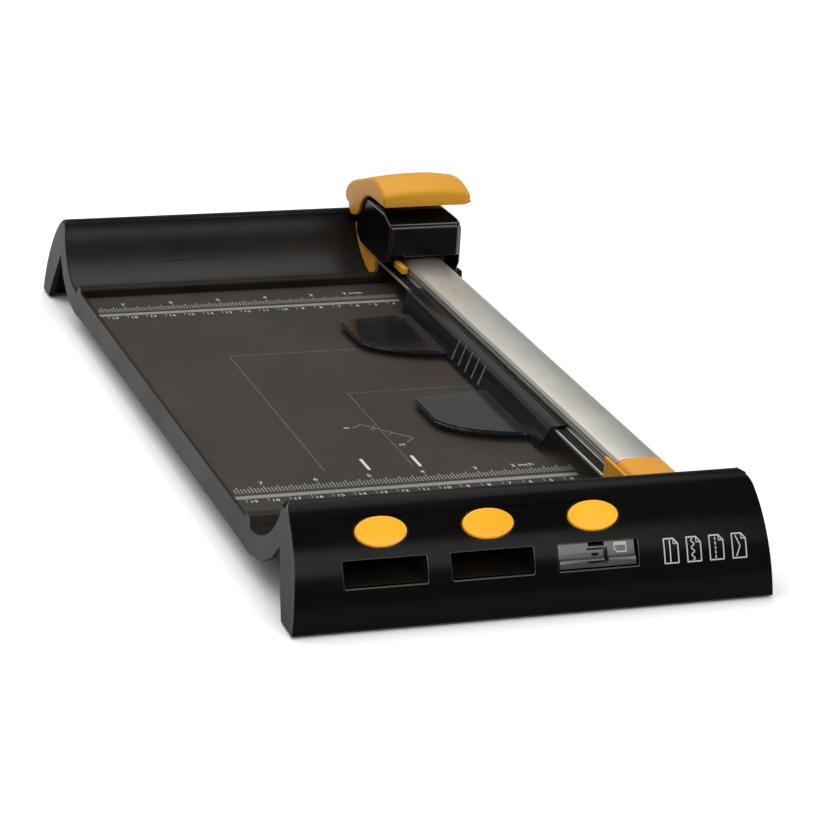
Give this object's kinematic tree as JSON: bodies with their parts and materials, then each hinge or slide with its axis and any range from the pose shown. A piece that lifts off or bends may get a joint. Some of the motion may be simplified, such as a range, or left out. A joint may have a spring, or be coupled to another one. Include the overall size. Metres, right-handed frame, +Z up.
{
  "type": "rotary paper trimmer",
  "caption": "Desk paper trimmer: raised board between leaning ends, a cutting head with a rotary blade sliding on a rail, a clear guard and blade storage.",
  "frame": {"origin": "centre of the footprint, on the floor", "axes": "+Y along the cut, from the blade-storage end to the far end; +X across the board towards the rail side; +Z up"},
  "size_m": [0.2188, 0.47, 0.0796],
  "materials": {
    "satin_black": "black plastic with a fine spark-eroded grain",
    "board_black": "dark warm grey textured sheet with light grey printed rules",
    "mat": "dark grey self-healing cutting strip",
    "gloss_black": "polished black plastic",
    "steel": "bright steel",
    "amber_plastic": "amber plastic, satin",
    "rail_aluminium": "drawn aluminium, satin anodised",
    "smoked_clear": "smoked see-through plastic",
    "acetal": "natural white acetal",
    "foot_rubber": "black rubber"
  },
  "bodies": {
    "root": {"base_moulding": "satin_black", "board_plate": "board_black", "cutting_mat": "mat", "front_cover": "gloss_black", "storage_tray": "satin_black", "cover_screw_1": "steel", "cover_screw_2": "steel", "cover_screw_3": "steel", "cover_screw_4": "steel", "rail_extrusion": "rail_aluminium", "rail_block_near": "amber_plastic", "rail_block_far": "amber_plastic", "rail_screw_near_1": "steel", "rail_screw_near_2": "steel", "rail_screw_far_1": "steel", "rail_screw_far_2": "steel", "foot_near_left": "foot_rubber", "foot_far_left": "foot_rubber", "foot_near_right": "foot_rubber", "foot_far_right": "foot_rubber"},
    "head": {"head_housing": "gloss_black", "head_carriage": "amber_plastic", "glide_pad_near": "acetal", "glide_pad_far": "acetal", "head_screw_1": "steel", "head_screw_2": "steel", "handle_spring": "steel"},
    "handle": {"handle": "amber_plastic", "blade_holder": "satin_black", "blade_axle": "steel"},
    "blade": {"blade_hub": "acetal", "rotary_blade": "steel"},
    "guard": {"paper_guard": "smoked_clear"},
    "cartridge": {"stored_cartridge": "satin_black", "stored_blade": "steel"},
    "button_left": {"button_left": "amber_plastic"},
    "button_middle": {"button_middle": "amber_plastic"},
    "button_right": {"button_right": "amber_plastic"}
  },
  "joints": [
    {"name": "head_slide", "type": "slide", "parent": "root", "child": "head", "axis": [0, -1, 0], "range_m": [0, 0.32]},
    {"name": "handle_press", "type": "slide", "parent": "head", "child": "handle", "axis": [0, 0, -1], "range_m": [0, 0.003], "stiffness_N_per_m": 1500, "deforming": ["handle_spring"]},
    {"name": "blade_spin", "type": "hinge", "parent": "handle", "child": "blade", "pos_m": [0.0901, 0.1627, 0.037], "axis": [1, 0, 0], "continuous": true},
    {"name": "guard_press", "type": "hinge", "parent": "root", "child": "guard", "pos_m": [0.0625, 0, 0.0342], "axis": [0, -1, 0], "range_deg": [0, 1.9], "stiffness_Nm_per_rad": 1.2},
    {"name": "cartridge_slide", "type": "slide", "parent": "root", "child": "cartridge", "axis": [0, -1, 0], "range_m": [0, 0.024]},
    {"name": "button_left_press", "type": "slide", "parent": "root", "child": "button_left", "axis": [0, 0.7353, -0.6777], "range_m": [0, 0.0025], "stiffness_N_per_m": 600},
    {"name": "button_middle_press", "type": "slide", "parent": "root", "child": "button_middle", "axis": [0, 0.7353, -0.6777], "range_m": [0, 0.0025], "stiffness_N_per_m": 600},
    {"name": "button_right_press", "type": "slide", "parent": "root", "child": "button_right", "axis": [0, 0.7353, -0.6777], "range_m": [0, 0.0025], "stiffness_N_per_m": 600}
  ]
}
